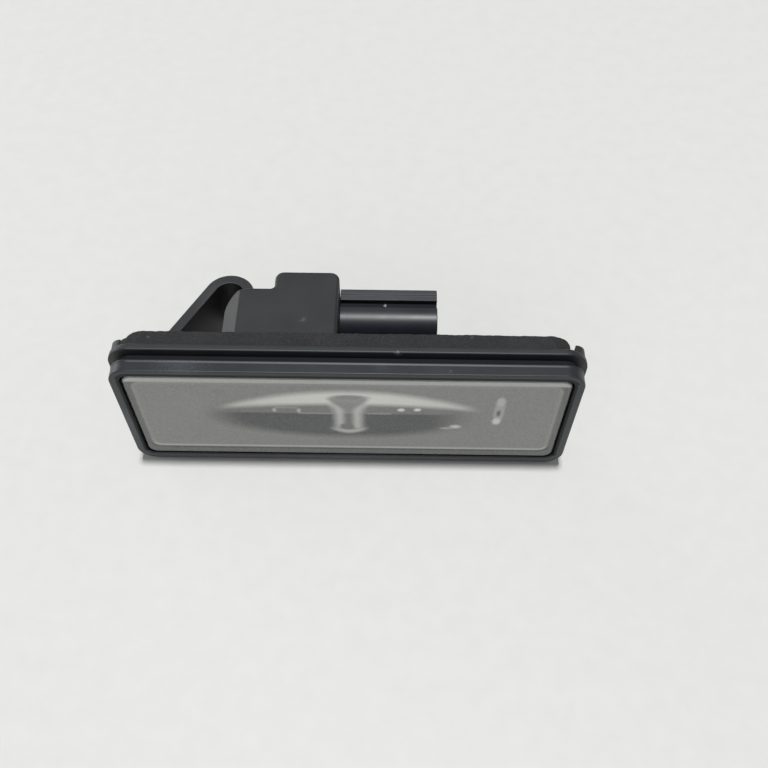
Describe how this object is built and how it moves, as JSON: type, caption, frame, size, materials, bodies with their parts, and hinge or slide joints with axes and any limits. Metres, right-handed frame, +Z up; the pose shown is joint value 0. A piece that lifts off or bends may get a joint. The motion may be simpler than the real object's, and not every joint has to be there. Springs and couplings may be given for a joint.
{
  "type": "number plate lamp",
  "caption": "Rectangular snap-in number plate lamp: clear lens with a lobed optic in a black frame, foam gasket, and a rear housing with plug socket, spring clip and fixed lug.",
  "frame": {"origin": "centre of the panel seat, which is the back face of the foam gasket", "axes": "+X along the lamp towards the plug's end, +Y back through the panel, +Z up across the lens; the lens faces -Y"},
  "size_m": [0.0854, 0.0292, 0.0318],
  "materials": {
    "black_satin_plastic": "satin",
    "clear_lens": "clear, frosted from behind outside the optic",
    "bonding_bead": "soft satin",
    "dark_grey_plastic": "fine satin",
    "foam": "open-cell matt",
    "board": "solder mask",
    "white_package": "matt",
    "phosphor": "soft satin",
    "component_body": "matt with tinned ends",
    "capacitor_body": "matt with tinned ends",
    "terminal_brass": "tinned",
    "solder": "bright"
  },
  "bodies": {
    "root": {"front_frame": "black_satin_plastic", "lens": "clear_lens", "lens_bead": "bonding_bead", "housing": "dark_grey_plastic", "gasket": "foam", "circuit_board": "board", "led_package": "white_package", "led_phosphor": "phosphor", "diode": "component_body", "resistor_right": "component_body", "resistor_far_right": "component_body", "resistor_left": "component_body", "capacitor_right": "capacitor_body", "capacitor_left": "capacitor_body", "terminal_upper": "terminal_brass", "terminal_lower": "terminal_brass", "terminal_solder": "solder"}
  },
  "joints": []
}
